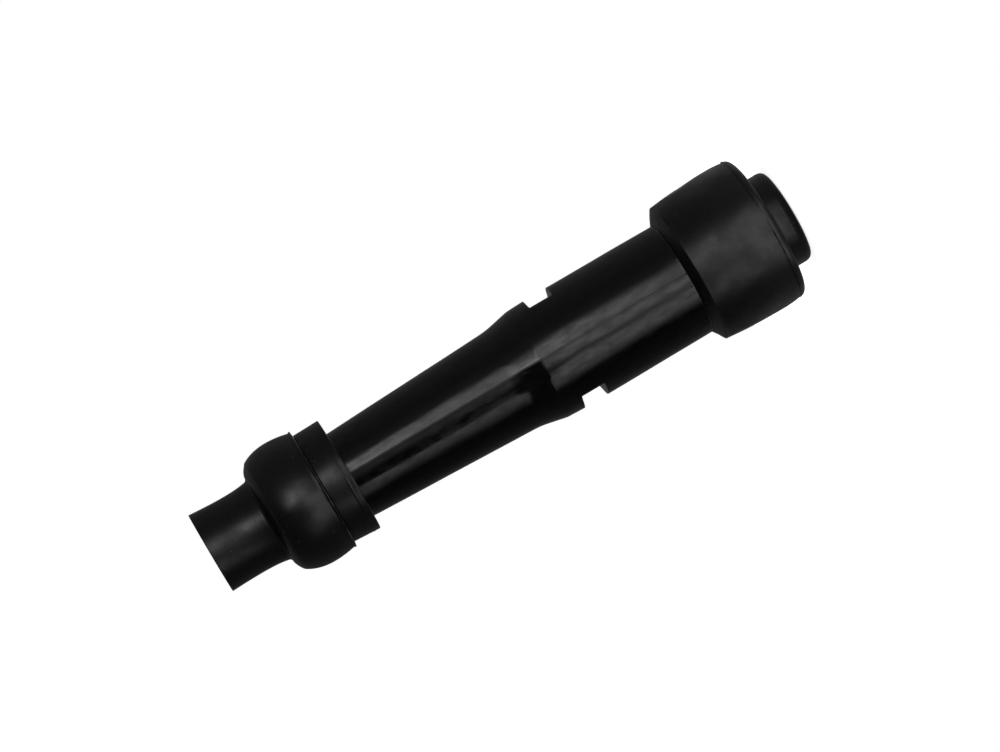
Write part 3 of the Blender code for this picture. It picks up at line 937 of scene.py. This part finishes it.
@dataclass
class PlugBoot(Moulding):
    """The rubber boot: a neck that grips the plug and a barrel round the housing's foot.

    Heights are above its foot. Its mould parted round the rim of its lower corner, where thin
    flash is left.
    """

    name: str = "plug_boot_rubber"
    node: str = "plug_boot"
    slot: str = "black_rubber"
    mouth_radius: float = 0.0048
    mouth_edge: float = 0.0003
    neck_radius: float = 0.0071
    neck_length: float = 0.0033
    neck_edge: float = 0.0013
    neck_bead: float = 0.0001
    neck_bead_height: float = 0.00016
    neck_ring_height: float = 0.00125
    neck_ring_rise: float = 0.000012
    floor_top: float = 0.0046
    flash_height: float = 0.00442
    foot_radius: float = 0.01098
    swell_radius: float = 0.01154
    swell_height: float = 0.0079
    rim_radius: float = 0.01066
    rim_height: float = 0.01645
    rim_edge: float = 0.00018
    lip_radius: float = 0.00864
    lip_edge: float = 0.00008
    corner_width: float = 0.00176
    corner_set_in: float = 0.00026
    grip_radius: float = 0.0086
    rib_radius: float = 0.00822
    rib_span: tuple[float, float] = (0.0092, 0.0108)
    flash_rise: float = 0.00006
    flash_width: float = 0.0001
    flash_middle: float = 0.75  # Share of its rise that the flash has before it is torn.
    flash_range: tuple[float, float] = (0.1, 1.6)  # Least and greatest share once torn.
    nib_rise: float = 0.00013
    nib_width: float = 0.0009
    waves: Waves = Waves(seed=5, depth=0.00003, lobes=(2, 11), lengths=(0.006, 0.016), count=14)
    torn: Waves = Waves(seed=8, depth=0.5, lobes=(9, 60), lengths=(0.01, 0.02), count=16)
    foot_lean: float = 0.00034
    head_lean: float = 0.0002
    lean_blend: float = 0.001

    def outside(self) -> list[Vector]:
        """The outline's outer side, from the lip on the barrel down to the neck's flat end.

        Returns:
            The points as (radius, height).
        """
        foot, flash = self.foot, self.foot + self.flash_height
        corner_foot = foot + self.neck_length
        barrel = swept(
            (self.rim_radius, foot + self.rim_height - self.rim_edge, 0.0),
            (self.swell_radius, foot + self.swell_height, 0.0),
            (self.foot_radius, flash + 3 * self.flash_width, 0.0),
        )
        corner = swept(
            (self.foot_radius, flash - 2 * self.flash_width, 0.0),
            (self.foot_radius - self.corner_set_in, corner_foot, 0.0),
            (self.foot_radius - self.corner_width, corner_foot, 0.0),
        )
        corners = [
            (self.grip_radius, self.head - self.lip_edge, 0.0),
            (self.lip_radius, self.head, self.lip_edge),
            (self.rim_radius, foot + self.rim_height, self.rim_edge),
            *barrel,
            (self.foot_radius, flash + self.flash_width, 0.0),
            (self.foot_radius, flash, 0.0),
            (self.foot_radius, flash - self.flash_width, 0.0),
            *corner,
            (self.neck_radius + self.neck_bead, corner_foot, 0.0),
            (self.neck_radius + self.neck_bead, corner_foot - self.neck_bead_height, 0.0),
            (self.neck_radius, corner_foot - self.neck_bead_height - self.neck_bead / 2, 0.0),
            *swept(
                (self.neck_radius, foot + self.neck_edge, 0.0),
                (self.neck_radius, foot, 0.0),
                (self.neck_radius - self.neck_edge, foot, 0.0),
                steps=8,
            ),
            (self.mouth_radius + self.mouth_edge, foot, 0.0),
        ]
        return rounded(corners)

    def inside(self) -> list[Vector]:
        """The outline's inner side: mouth, pocket for the housing, and the rib in its groove.

        Returns:
            The points as (radius, height).
        """
        foot = self.foot
        low, high = self.rib_span
        corners = [
            (self.mouth_radius, foot + self.mouth_edge),
            (self.mouth_radius, foot + self.floor_top),
            (self.grip_radius, foot + self.floor_top),
            (self.grip_radius, foot + low),
            (self.rib_radius, foot + low),
            (self.rib_radius, foot + high),
            (self.grip_radius, foot + high),
        ]
        return [Vector(corner) for corner in corners]

    def thin_relief(self) -> tuple[tuple[float, float], ...]:
        """The torn flash and the neck's fine ring."""
        reach = RIDGE_REACH * self.flash_width
        return ((self.flash_height, reach), (self.neck_ring_height, reach))

    def relief(self, angle: np.ndarray, radius: np.ndarray, height: np.ndarray) -> np.ndarray:
        """Hollows in the barrel, torn flash round the lower corner, a nib, and the neck's ring.

        Args:
            angle: Angle of each column.
            radius: Radius of each point of the turned form.
            height: Height of each row.

        Returns:
            The distance outwards at each point.
        """
        above = height - self.foot
        wall = smooth_step(radius, self.neck_radius, self.rim_radius)
        wall = wall * (1 - smooth_step(above, self.rim_height - self.rim_edge, self.rim_height))
        stands = wall * self.waves.at(angle, height)
        torn = np.clip(self.flash_middle + self.torn.at(angle, height), *self.flash_range)
        across = (above - self.flash_height) / self.flash_width
        nib = self.nib_rise * np.exp(-((angle * self.foot_radius / self.nib_width) ** 2))
        neck = radius > self.neck_radius - self.mouth_edge
        ring = (above - self.neck_ring_height) / self.flash_width
        stands = stands + self.neck_ring_rise * np.exp(-ring * ring) * neck
        outer = radius > self.neck_radius + self.mouth_edge
        return stands + outer * np.exp(-across * across) * (self.flash_rise * torn + nib)

    def leaning(self, x: np.ndarray, y: np.ndarray, z: np.ndarray) -> np.ndarray:
        """Sets the neck, its mouth and the outer wall off the axis, but not the grip.

        Args:
            x: Each point's place towards +X.
            y: Its place towards +Y.
            z: Its height.

        Returns:
            How far each point moves towards +X.
        """
        share = (z - self.foot) / (self.head - self.foot)
        lean = self.foot_lean + (self.head_lean - self.foot_lean) * share
        full = self.lip_radius + self.lean_blend
        outer = smooth_step(np.hypot(x, y), self.lip_radius, full)
        below = 1 - smooth_step(z - self.foot, self.neck_length, self.floor_top)
        return lean * np.maximum(outer, below)


@dataclass
class CableSeal(Moulding):
    """The rubber seal: a collar on the cone, a bulb over the bead, and a tube round the lead.

    Heights are above its foot. Its mould parted round the bulb's foot, where a thin torn lip of
    flash stands.
    """

    name: str = "cable_seal_rubber"
    node: str = "cable_seal"
    slot: str = "black_rubber"
    cone_radius: float = 0.00665
    cone_slope: float = 0.0417
    collar_radius: float = 0.00872
    collar_edge: float = 0.00015
    collar_line: float = 0.0009
    collar_line_rise: float = 0.00004
    seam_height: float = 0.004
    seam_radius: float = 0.00857
    seam_depth: float = 0.00006
    lip_height: float = 0.0043
    lip_radius: float = 0.00924
    lip_rise: float = 0.00014
    lip_width: float = 0.00011
    lip_middle: float = 0.8  # Share of its rise that the lip has before it is torn.
    lip_range: tuple[float, float] = (0.0, 2.0)  # Least and greatest share once torn.
    bulb_foot: float = 0.0046
    bulb_foot_radius: float = 0.00922
    bulb_swell_radius: float = 0.01024
    bulb_swell_height: float = 0.0092
    crown_radius: float = 0.00858
    crown_height: float = 0.01188
    crown_bulge: float = 0.0003
    crown_edge: float = 0.00007
    tube_foot: float = 0.01288
    tube_foot_radius: float = 0.00622
    tube_fillet: float = 0.00062
    tube_waist_radius: float = 0.00576
    tube_waist_height: float = 0.0158
    tube_mouth_radius: float = 0.00614
    tube_overhang: float = 0.00022
    tube_edge: float = 0.00012
    bore_radius: float = 0.00335
    bore_edge: float = 0.0005
    bead_foot: float = 0.0042
    bead_head: float = 0.0069
    bead_radius: float = 0.00797
    spigot_foot: float = 0.0092
    spigot_radius: float = 0.00655
    ceiling: float = 0.0103
    waves: Waves = Waves(seed=21, depth=0.00002, lobes=(2, 9), lengths=(0.006, 0.02), count=14)
    torn: Waves = Waves(seed=4, depth=0.55, lobes=(7, 48), lengths=(0.01, 0.02), count=16)
    foot_lean: float = 0.00018
    head_lean: float = 0.0005

    @property
    def mouth(self) -> float:
        """Height of the tube's mouth, a little above the node's highest point."""
        return self.head + self.tube_overhang

    def tube(self) -> list[Corner]:
        """The tube's waisted wall and the hollow at its foot.

        Returns:
            The corners, from the mouth down.
        """
        tube_foot = self.foot + self.tube_foot
        wall = swept(
            (self.tube_mouth_radius, self.mouth - self.tube_edge, 0.0),
            (self.tube_waist_radius, self.foot + self.tube_waist_height, 0.0),
            (self.tube_foot_radius, tube_foot + self.tube_fillet, 0.0),
        )
        hollow = swept(
            (self.tube_foot_radius, tube_foot + self.tube_fillet, 0.0),
            (self.tube_foot_radius, tube_foot, 0.0),
            (self.tube_foot_radius + self.tube_fillet, tube_foot, 0.0),
            steps=8,
        )
        return wall + hollow[1:]

    def bulb(self) -> list[Corner]:
        """The bulb's sloping crown and its swelling wall.

        Returns:
            The corners, from the tube's foot down.
        """
        tube_foot = self.foot + self.tube_foot
        crown_foot = self.foot + self.crown_height
        middle_radius = (self.crown_radius + self.tube_foot_radius) / 2
        middle_height = (crown_foot + tube_foot) / 2
        crown = swept(
            (self.tube_foot_radius + self.tube_fillet, tube_foot, 0.0),
            (middle_radius + self.crown_bulge, middle_height + self.crown_bulge, 0.0),
            (self.crown_radius - self.crown_edge, crown_foot + self.crown_edge, 0.0),
            steps=8,
        )
        wall = swept(
            (self.crown_radius, crown_foot, 0.0),
            (self.bulb_swell_radius, self.foot + self.bulb_swell_height, 0.0),
            (self.bulb_foot_radius, self.foot + self.bulb_foot, 0.0),
            steps=24,
        )
        return crown[1:] + wall

    def outside(self) -> list[Vector]:
        """The outline's outer side, from the tube's mouth down to the collar's end.

        Returns:
            The points as (radius, height).
        """
        foot = self.foot
        lip, seam = foot + self.lip_height, foot + self.seam_height
        corners = [
            (self.bore_radius + self.bore_edge, self.mouth, 0.0),
            (self.tube_mouth_radius, self.mouth, self.tube_edge),
            *self.tube(),
            *self.bulb(),
            (self.lip_radius, lip + self.lip_width, 0.0),
            (self.lip_radius, lip, 0.0),
            (self.lip_radius, lip - self.lip_width, 0.0),
            (self.seam_radius - self.seam_depth, seam + self.seam_depth, 0.0),
            (self.seam_radius, seam, self.seam_depth / 2),
            (self.collar_radius, foot, self.collar_edge),
            (self.cone_radius, foot, self.collar_edge),
            (self.cone_radius, foot + self.collar_edge, 0.0),
        ]
        return rounded(corners)

    def inside(self) -> list[Vector]:
        """The outline's inner side: cone, groove for the bead, spigot socket and the lead's bore.

        Returns:
            The points as (radius, height).
        """
        foot = self.foot
        root_radius = self.cone_radius - self.cone_slope * self.bead_foot
        corners = [
            (root_radius, foot + self.bead_foot),
            (self.bead_radius, foot + self.bead_foot),
            (self.bead_radius, foot + self.bead_head),
            (self.spigot_radius, foot + self.spigot_foot),
            (self.spigot_radius, foot + self.ceiling),
            (self.bore_radius, foot + self.ceiling),
            (self.bore_radius, self.mouth - self.bore_edge),
        ]
        return [Vector(corner) for corner in corners]

    def thin_relief(self) -> tuple[tuple[float, float], ...]:
        """The torn lip and the collar's faint line."""
        reach = RIDGE_REACH * self.lip_width
        return ((self.lip_height, reach), (self.collar_line, reach))

    def relief(self, angle: np.ndarray, radius: np.ndarray, height: np.ndarray) -> np.ndarray:
        """Shallow hollows, the collar's faint line and the torn lip of flash.

        Args:
            angle: Angle of each column.
            radius: Radius of each point of the turned form.
            height: Height of each row.

        Returns:
            The distance outwards at each point.
        """
        above = height - self.foot
        body = radius > self.cone_radius - self.bore_edge
        tube = (above > self.tube_foot) * (radius > self.bore_radius + 2 * self.bore_edge)
        wall = smooth_step(above, 0, 2 * self.collar_edge) * body + tube
        stands = np.clip(wall, 0, 1) * self.waves.at(angle, height)
        line = (above - self.collar_line) / self.lip_width
        stands = stands + self.collar_line_rise * np.exp(-line * line) * (radius > self.seam_radius)
        torn = np.clip(self.lip_middle + self.torn.at(angle, height), *self.lip_range)
        across = (above - self.lip_height) / self.lip_width
        return stands + self.lip_rise * torn * np.exp(-across * across)

    def leaning(self, x: np.ndarray, y: np.ndarray, z: np.ndarray) -> np.ndarray:
        """Sets the outer wall and the whole tube off the axis, more towards the mouth.

        Args:
            x: Each point's place towards +X.
            y: Its place towards +Y.
            z: Its height.

        Returns:
            How far each point moves towards +X.
        """
        share = (z - self.foot) / (self.head - self.foot)
        lean = self.foot_lean + (self.head_lean - self.foot_lean) * share
        outer = smooth_step(np.hypot(x, y), self.bead_radius, self.seam_radius)
        tube = smooth_step(z - self.foot, self.ceiling, self.tube_foot)
        return lean * np.maximum(outer, tube)


@dataclass(frozen=True)
class Opening:
    """A lit opening in the black felt round the cap.

    Angles are in degrees from the viewer's side towards +X. Low and high are heights on the wall,
    and distances from the axis on the floor. Each edge fades over its own width.
    """

    name: str
    start: float
    end: float
    low: float
    high: float
    glow: float
    start_fade: float = 3.0
    end_fade: float = 3.0
    low_fade: float = 0.01
    high_fade: float = 0.01
    lean: float = 0.0  # Degrees that the side edges move for each metre of height.
    slant: float = 0.0  # Metres that the upper edge rises for each degree, from its end.

    def light(self, angle: np.ndarray, along: np.ndarray) -> np.ndarray:
        """Share of white that comes through.

        Args:
            angle: Angle of each point.
            along: Height or distance of each point.

        Returns:
            The light at each point.
        """
        angle = angle - self.lean * along
        high = self.high + self.slant * (angle - self.end)
        return (
            self.glow
            * smooth_step(angle, self.start - self.start_fade / 2, self.start + self.start_fade / 2)
            * (1 - smooth_step(angle, self.end - self.end_fade / 2, self.end + self.end_fade / 2))
            * smooth_step(along, self.low - self.low_fade / 2, self.low + self.low_fade / 2)
            * (1 - smooth_step(along - high, -self.high_fade / 2, self.high_fade / 2))
        )


@dataclass(frozen=True)
class Felt:
    """Black felt that stands round the cap and that only the gloss of its surfaces sees."""

    name: str
    low: float
    high: float
    openings: tuple[Opening, ...] = ()
    reach: float = 0.45
    grey: float = 0.063
    # Painted light on the felt: its glow rises towards +X and falls towards the back.
    painted_side_light: float = 0.033
    painted_back_shade: float = 0.034
    columns: int = 360
    rows: int = 150

    def points(self, angle: np.ndarray, along: np.ndarray) -> np.ndarray:
        """Places of the sheet's points: here, of a round wall."""
        return np.stack([self.reach * np.sin(angle), -self.reach * np.cos(angle), along], axis=-1)

    def place(self) -> bpy.types.Object:
        """Makes the sheet.

        Returns:
            The new stage object.
        """
        degrees = np.linspace(-180, 180, self.columns + 1)
        angle, along = np.meshgrid(degrees, np.linspace(self.low, self.high, self.rows + 1))
        turned = np.radians(angle)
        # The felt's glow is painted light: a set grey, lighter towards +X and darker at the back, as if
        # light fell on it more on one side than the other.
        light = self.grey + self.painted_side_light * np.sin(turned) - self.painted_back_shade * np.cos(turned)
        light = light + sum(opening.light(angle, along) for opening in self.openings)
        row, column = np.meshgrid(np.arange(self.rows), np.arange(self.columns), indexing="ij")
        first = row * (self.columns + 1) + column
        corners = [first, first + 1, first + self.columns + 2, first + self.columns + 1]
        mesh = bpy.data.meshes.new(self.name)
        faces = np.stack(corners, axis=-1).reshape(-1, 4)
        mesh.from_pydata(self.points(turned, along).reshape(-1, 3).tolist(), [], faces.tolist())
        mesh.attributes.new("light", "FLOAT", "POINT").data.foreach_set("value", light.ravel())
        mesh.materials.append(self.cloth())
        sheet = bpy.data.objects.new(self.name, mesh)
        bpy.context.scene.collection.objects.link(sheet)
        sheet.visible_camera = sheet.visible_diffuse = sheet.visible_shadow = False
        sheet.visible_transmission = sheet.visible_volume_scatter = False
        return sheet

    def cloth(self) -> bpy.types.Material:
        """The felt and its openings, which look the same whatever light falls on them.

        Returns:
            The new material.
        """
        made = bpy.data.materials.new(self.name)
        made.use_nodes = True
        tree = made.node_tree
        tree.nodes.clear()
        light = add_node(tree, "ShaderNodeAttribute", {"attribute_name": "light"})
        shine = add_node(tree, "ShaderNodeEmission", inputs={"Strength": light.outputs["Fac"]})
        add_node(tree, "ShaderNodeOutputMaterial", inputs={"Surface": shine.outputs[0]})
        return made


@dataclass(frozen=True)
class FlatFelt(Felt):
    """Black felt that lies flat: reach is its height."""

    reach: float = 0.0002
    rows: int = 60

    def points(self, angle: np.ndarray, along: np.ndarray) -> np.ndarray:
        """Places of the sheet's points, at their distance from the axis."""
        height = np.full(along.shape, self.reach)
        return np.stack([along * np.sin(angle), -along * np.cos(angle), height], axis=-1)


@dataclass
class Studio:
    """White table, plain white light, black felt with openings for the gloss, and the camera.

    A photographer hangs black felt round a glossy black part and lights it through openings:
    without the felt its mouldings mirror the white surround and go grey. Only gloss sees the felt,
    so the plain white light falls on everything as if it weren't there.
    """

    floor_radius: float = 0.1
    floor_sides: int = 96
    floor_colour: str = "#e6e6e6"
    floor_glow: float = 0.78
    camera_place: Vector = field(default_factory=lambda: Vector((0.0, -0.605, 0.0857)))
    camera_aim: Vector = field(default_factory=lambda: Vector((0.00126, 0.0, 0.0467)))
    camera_roll: float = math.radians(-120.58)
    camera_lens: float = 155.4
    camera_sensor: float = 36.0
    camera_near: float = 0.01

    def surround(self) -> None:
        """White all round, for every kind of ray."""
        world = bpy.data.worlds.new("white_surround")
        bpy.context.scene.world = world
        world.use_nodes = True
        world.node_tree.nodes["Background"].inputs["Color"].default_value = (1, 1, 1, 1)
        world.node_tree.nodes["Background"].inputs["Strength"].default_value = 1.0

    def table(self) -> bpy.types.Object:
        """The white table top, which glows a little for the camera and keeps the cap's shadow.

        Returns:
            The new stage object.
        """
        mesh = bpy.data.meshes.new("table_top")
        shape = bmesh.new()
        bmesh.ops.create_circle(
            shape, cap_ends=True, radius=self.floor_radius, segments=self.floor_sides
        )
        shape.to_mesh(mesh)
        shape.free()
        top = bpy.data.objects.new("table_top", mesh)
        bpy.context.scene.collection.objects.link(top)
        made = bpy.data.materials.new("white_acrylic_table")
        made.use_nodes = True
        tree = made.node_tree
        tree.nodes.clear()
        rays = add_node(tree, "ShaderNodeLightPath")
        seen = rays.outputs["Is Camera Ray"]
        for kind in ("Is Glossy Ray", "Is Transmission Ray"):
            seen = add_node(
                tree, "ShaderNodeMath", {"operation": "MAXIMUM"}, {0: seen, 1: rays.outputs[kind]}
            ).outputs[0]
        strength = add_node(
            tree, "ShaderNodeMath", {"operation": "MULTIPLY"}, {0: seen, 1: self.floor_glow}
        )
        glow = add_node(tree, "ShaderNodeEmission", inputs={"Strength": strength.outputs[0]})
        lit = add_node(tree, "ShaderNodeBsdfDiffuse", inputs={"Color": linear(self.floor_colour)})
        both = add_node(tree, "ShaderNodeAddShader", inputs={0: glow.outputs[0], 1: lit.outputs[0]})
        add_node(tree, "ShaderNodeOutputMaterial", inputs={"Surface": both.outputs[0]})
        mesh.materials.append(made)
        return top

    def felts(self) -> list[Felt]:
        """The black felt: a wall with its openings, the table round the cap, and a roof.

        Returns:
            The sheets, not yet placed.
        """
        # In each opening the numbers are its start and end, low and high, glow, and four fades.
        wall = (
            Opening("tall_window", 3, 30.5, 0.06, 0.08, 1.85, 2, 20, 0.06, 0.08, slant=-0.009),
            Opening("tall_window_haze", 8, 29, 0.14, 0.3, 0.8, 8, 14, 0.06, 0.05),
            Opening("tall_window_foot", 5, 29, -0.04, 0.05, 1.75, 14, 20, 0.12, 0.04),
            Opening("tall_window_spill", 27, 46, -0.1, 0.3, 0.09, 14, 34, 0.1, 0.1),
            Opening("lamp_in_window", 3, 11, 0.105, 0.22, 0.6, 2, 10, 0.03, 0.04),
            Opening("middle_low", -16, 2, -0.36, 0.05, 1.15, 14, 6, 0.01, 0.02),
            Opening("middle_high", -12, 1, 0.05, 0.14, 0.18, 20, 2, 0.02, 0.06),
            Opening("side_low", -52, -23, -0.36, 0.048, 0.98, 26, 12, 0.01, 0.02, lean=-60),
            Opening("side_high", -51, -31, 0.048, 0.147, 0.62, 34, 3, 0.02, 0.02, lean=-70, slant=0.001),
            Opening("back_low", 158, 177, -0.36, -0.052, 1.3, 12, 12, 0.01, 0.02),
            Opening("back_high", 172, 179, -0.052, 0.02, 1.0, 2, 1, 0.02, 0.02),
            Opening("back_strip", -170, -160, -0.36, -0.052, 0.5, 6, 6, 0.01, 0.02),
            Opening("right_low", 102, 126, -0.36, -0.115, 0.75, 16, 16, 0.01, 0.03),
            Opening("left_low", -130, -106, -0.36, -0.115, 0.75, 16, 16, 0.01, 0.03),
        )
        # Inside 13 mm of the axis the table felt stays dark: painted shade under the boot's overhang, as
        # the gloss sees it. Outside that, the front opening lets the white table show.
        table = (
            Opening("front", -43, 30, 0.0132, 0.13, 1.1, 26, 20, 0.0065, 0.01),
            Opening("back", 158, 177, 0.0135, 0.13, 0.9, 12, 12, 0.004, 0.01),
            Opening("back_strip", -170, -160, 0.0135, 0.13, 0.5, 6, 6, 0.004, 0.01),
            Opening("right", 102, 126, 0.085, 0.13, 0.25, 16, 16, 0.03, 0.01),
            Opening("left", -130, -106, 0.085, 0.13, 0.25, 16, 16, 0.03, 0.01),
        )
        return [
            Felt("felt_wall", -0.35, 0.6, wall),
            FlatFelt("felt_table", 0.0, 0.12, table, grey=0.17),
            FlatFelt("felt_roof", 0.0, 0.45, reach=0.6),
        ]

    def camera(self) -> bpy.types.Object:
        """The camera, at the place and roll from which the cap is seen.

        Returns:
            The scene's camera.
        """
        data = bpy.data.cameras.new("camera")
        data.lens = self.camera_lens
        data.sensor_width = self.camera_sensor
        data.clip_start = self.camera_near
        made = bpy.data.objects.new("camera", data)
        made.location = self.camera_place
        made.rotation_mode = "QUATERNION"
        level = (self.camera_aim - self.camera_place).to_track_quat("-Z", "Y")
        made.rotation_quaternion = level @ Quaternion((0, 0, 1), self.camera_roll)
        bpy.context.scene.collection.objects.link(made)
        bpy.context.scene.camera = made
        return made

    def build(self) -> None:
        """Sets everything up."""
        bpy.context.scene.view_settings.view_transform = "Standard"
        self.camera()
        self.surround()
        self.table()
        for felt in self.felts():
            felt.place()
            names = ", ".join(opening.name for opening in felt.openings)
            LOG.info("studio: %s, openings: %s", felt.name, names or "none")


@dataclass
class ContactParts:
    """The metal and ceramic parts inside, which keep the frame's own shapes."""

    finishes: dict[str, Finish] = field(
        default_factory=lambda: {
            "plug_terminal": TurnedBrass("turned_brass_terminal", "#d2b06a", 0.28, metallic=1.0),
            "cable_screw": TurnedBrass("turned_brass_screw", "#c9a560", 0.32, metallic=1.0),
            "contact_disc": TurnedBrass("blanked_brass_disc", "#d6b878", 0.3, metallic=1.0),
            "terminal_clip": BrightSteel("drawn_steel_clip", "#b9b8b4", 0.24, metallic=1.0),
            "contact_spring": BrightSteel("drawn_steel_spring", "#aeaeac", 0.26, metallic=1.0),
            "resistor_cap_lower": BrightSteel("plated_steel_cap_lower", "#cfcdc6", 0.22, metallic=1.0),
            "resistor_cap_upper": BrightSteel("plated_steel_cap_upper", "#cfcdc6", 0.22, metallic=1.0),
            "resistor_core": FiredCeramic("fired_steatite", "#ddd6c6", 0.62, ior=1.6),
        }
    )

    def dress(self, nodes: dict[str, bpy.types.Object]) -> None:
        """Puts each part's finish in its material slot.

        Args:
            nodes: The frame's objects by name.
        """
        for name, finish in self.finishes.items():
            node = nodes[name]
            node.data.materials.clear()
            node.data.materials.append(finish.make())
            LOG.info("%s: %s", name, finish.name)


def main() -> None:
    """Builds the studio, the three mouldings and the finishes of the parts inside."""
    logging.basicConfig(level=logging.INFO, format="%(name)s %(message)s")
    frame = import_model()
    Studio().build()
    phenolic = PolishedPhenolic("pressed_black_phenolic", "#010101", 0.07, ior=1.56)
    boot_rubber = MouldedRubber("pressed_black_rubber_boot", "#040404", 0.27, ior=1.52)
    seal_rubber = MouldedRubber("pressed_black_rubber_seal", "#070707", 0.26, ior=1.52)
    for moulding, finish in (
        (Housing(), phenolic),
        (PlugBoot(), boot_rubber),
        (CableSeal(), seal_rubber),
    ):
        moulding.dress(moulding.build(), finish.make())
    ContactParts().dress(frame["nodes"])


if __name__ == "__main__":
    main()
